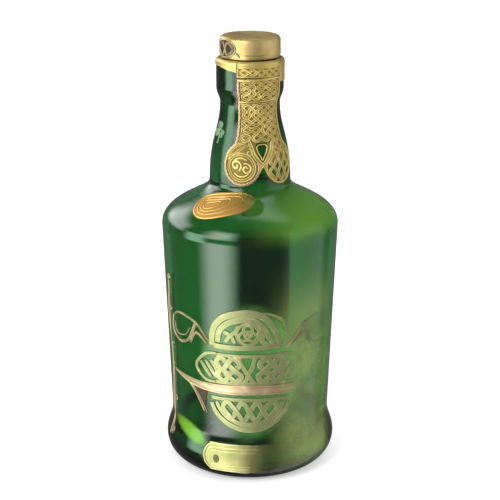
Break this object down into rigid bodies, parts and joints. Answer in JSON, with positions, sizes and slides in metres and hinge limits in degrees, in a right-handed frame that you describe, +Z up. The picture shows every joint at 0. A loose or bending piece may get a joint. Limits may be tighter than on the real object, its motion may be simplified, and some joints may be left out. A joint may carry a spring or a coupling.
{
  "type": "decorative glass bottle with stopper",
  "caption": "Green glass bottle with a bell-shaped base, gilded knotwork relief on neck, shoulder and body, and a gilt bar-top stopper that pulls out.",
  "frame": {"origin": "centre of the foot ring, on the plane that the bottle stands on", "axes": "+Z up the bottle's axis; the emblem faces -Y and the neck strap is turned towards +X"},
  "size_m": [0.092, 0.092, 0.2281],
  "materials": {
    "green_glass": "polished green bottle glass",
    "foil": "gold foil, satin",
    "strap_gilding": "cast relief, gold plated, darkened in the hollows",
    "emblem_gilding": "pale gold gilding, worn thin towards the right",
    "belt_gilding": "polished gold band",
    "seal_gilding": "warm gold, satin",
    "vine_gilding": "gold wire",
    "clover_enamel": "pale green enamel",
    "cork": "natural cork",
    "core_wood": "turned wood, oiled",
    "cap_gilding": "gold plated, satin"
  },
  "bodies": {
    "bottle": {"glass_bottle": "green_glass", "collar_foil": "foil", "strap_head": "strap_gilding", "strap_frame": "strap_gilding", "strap_knot_upper": "strap_gilding", "strap_knot_lower": "strap_gilding", "strap_drop": "strap_gilding", "strap_scroll_left": "strap_gilding", "strap_scroll_right": "strap_gilding", "shoulder_seal": "seal_gilding", "emblem_dome": "emblem_gilding", "emblem_rosette": "emblem_gilding", "emblem_lattice": "emblem_gilding", "emblem_belt": "belt_gilding", "emblem_bowl": "emblem_gilding", "loop_left": "vine_gilding", "loop_right": "vine_gilding", "vine_left": "vine_gilding", "vine_right": "vine_gilding", "base_seal": "seal_gilding", "clover_sprig": "clover_enamel"},
    "stopper": {"cork_shank": "cork", "stopper_core": "core_wood", "gilt_cap": "cap_gilding", "cap_medallion": "cap_gilding"}
  },
  "joints": [
    {"name": "stopper_pull", "type": "slide", "parent": "bottle", "child": "stopper", "axis": [0, 0, 1], "range_m": [0, 0.03]}
  ]
}
